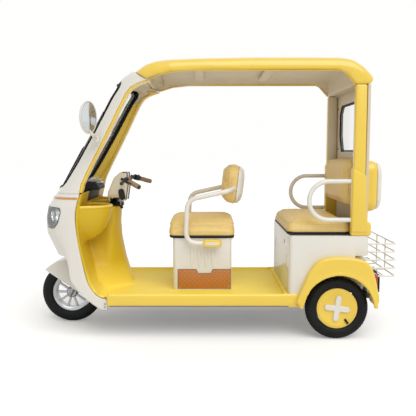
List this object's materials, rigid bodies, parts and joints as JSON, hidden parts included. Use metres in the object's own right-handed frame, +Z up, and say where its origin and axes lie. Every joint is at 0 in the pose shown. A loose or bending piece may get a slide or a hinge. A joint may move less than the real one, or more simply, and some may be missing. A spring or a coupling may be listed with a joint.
{
  "type": "electric passenger tricycle",
  "caption": "Covered electric passenger tricycle: raked steering with handlebar, curved windscreen, roof, lifting seats, flip-over backrest and a wire basket behind.",
  "frame": {"origin": "on the ground below the middle of the overall box", "axes": "+X forward along the direction of travel, +Y to the rider's left, +Z up"},
  "size_m": [2.4703, 1.172, 1.8449],
  "materials": {
    "yellow_body": "moulded, glossy",
    "white_body": "moulded, glossy",
    "beige_lining": "moulded, fine grain",
    "frame_steel": "black powder coat",
    "bright_steel": "zinc plated",
    "alloy": "cast, satin",
    "white_tube": "white powder coat",
    "glazing": "clear",
    "lamp_clear": "clear lens",
    "lamp_red": "red lens",
    "seal_rubber": "black",
    "black_plastic": "black, grained",
    "brown_panel": "brown, dotted",
    "tan_leather": "tan upholstery",
    "grip_rubber": "taupe",
    "tyre": "black"
  },
  "bodies": {
    "body": {"chassis_frame": "frame_steel", "floor_pan": "yellow_body", "front_fairing": "white_body", "leg_shield": "yellow_body", "windscreen_frame": "white_body", "pillar_trim": "yellow_body", "window_seals": "seal_rubber", "glazing": "glazing", "wiper": "black_plastic", "headlamps": "lamp_clear", "instrument_pod": "black_plastic", "mirrors": "white_body", "roof_shell": "yellow_body", "roof_lining": "beige_lining", "rear_pillars": "yellow_body", "rear_wall": "beige_lining", "rear_pad": "tan_leather", "rear_cap_body": "yellow_body", "rear_cap": "white_body", "grab_rails": "white_tube", "bench_box": "white_body", "rear_fenders": "yellow_body", "tail_lamps": "lamp_red", "basket": "white_tube", "plate_bracket": "black_plastic", "rear_axle": "frame_steel", "front_seat_box": "white_body", "access_panel": "brown_panel", "battery_block": "black_plastic"},
    "bench_lid": {"bench_pan": "black_plastic", "bench_cushion": "tan_leather"},
    "front_seat_lid": {"front_seat_pan": "black_plastic", "front_cushion": "tan_leather"},
    "front_backrest": {"backrest_arms": "white_tube", "backrest_pad": "tan_leather", "backrest_shell": "white_body"},
    "steering": {"fork": "bright_steel", "handlebar": "frame_steel", "handlebar_cover": "white_body", "switchgear": "black_plastic", "grips": "grip_rubber", "front_mudguard": "white_body"},
    "front_wheel": {"front_rim": "alloy", "front_tyre": "tyre"},
    "rear_wheel_left": {"rear_rim_left": "yellow_body", "rear_tyre_left": "tyre"},
    "rear_wheel_right": {"rear_rim_right": "yellow_body", "rear_tyre_right": "tyre"}
  },
  "joints": [
    {"name": "steering_turn", "type": "hinge", "parent": "body", "child": "steering", "pos_m": [1.0002, 0, 0.217], "axis": [-0.4384, 0, 0.8988], "range_deg": [-35, 35]},
    {"name": "front_wheel_spin", "type": "hinge", "parent": "steering", "child": "front_wheel", "pos_m": [1.018, 0, 0.217], "axis": [0, 1, 0], "continuous": true},
    {"name": "rear_left_spin", "type": "hinge", "parent": "body", "child": "rear_wheel_left", "pos_m": [-0.822, 0.4, 0.207], "axis": [0, 1, 0], "continuous": true},
    {"name": "rear_right_spin", "type": "hinge", "parent": "body", "child": "rear_wheel_right", "pos_m": [-0.822, -0.4, 0.207], "axis": [0, 1, 0], "continuous": true},
    {"name": "bench_lid_hinge", "type": "hinge", "parent": "body", "child": "bench_lid", "pos_m": [-0.93, 0, 0.703], "axis": [0, -1, 0], "range_deg": [0, 45]},
    {"name": "front_seat_hinge", "type": "hinge", "parent": "body", "child": "front_seat_lid", "pos_m": [-0.146, 0, 0.664], "axis": [0, -1, 0], "range_deg": [0, 35]},
    {"name": "backrest_flip", "type": "hinge", "parent": "body", "child": "front_backrest", "pos_m": [0.0005, 0, 0.617], "axis": [0, -1, 0], "range_deg": [-44, 0]}
  ]
}
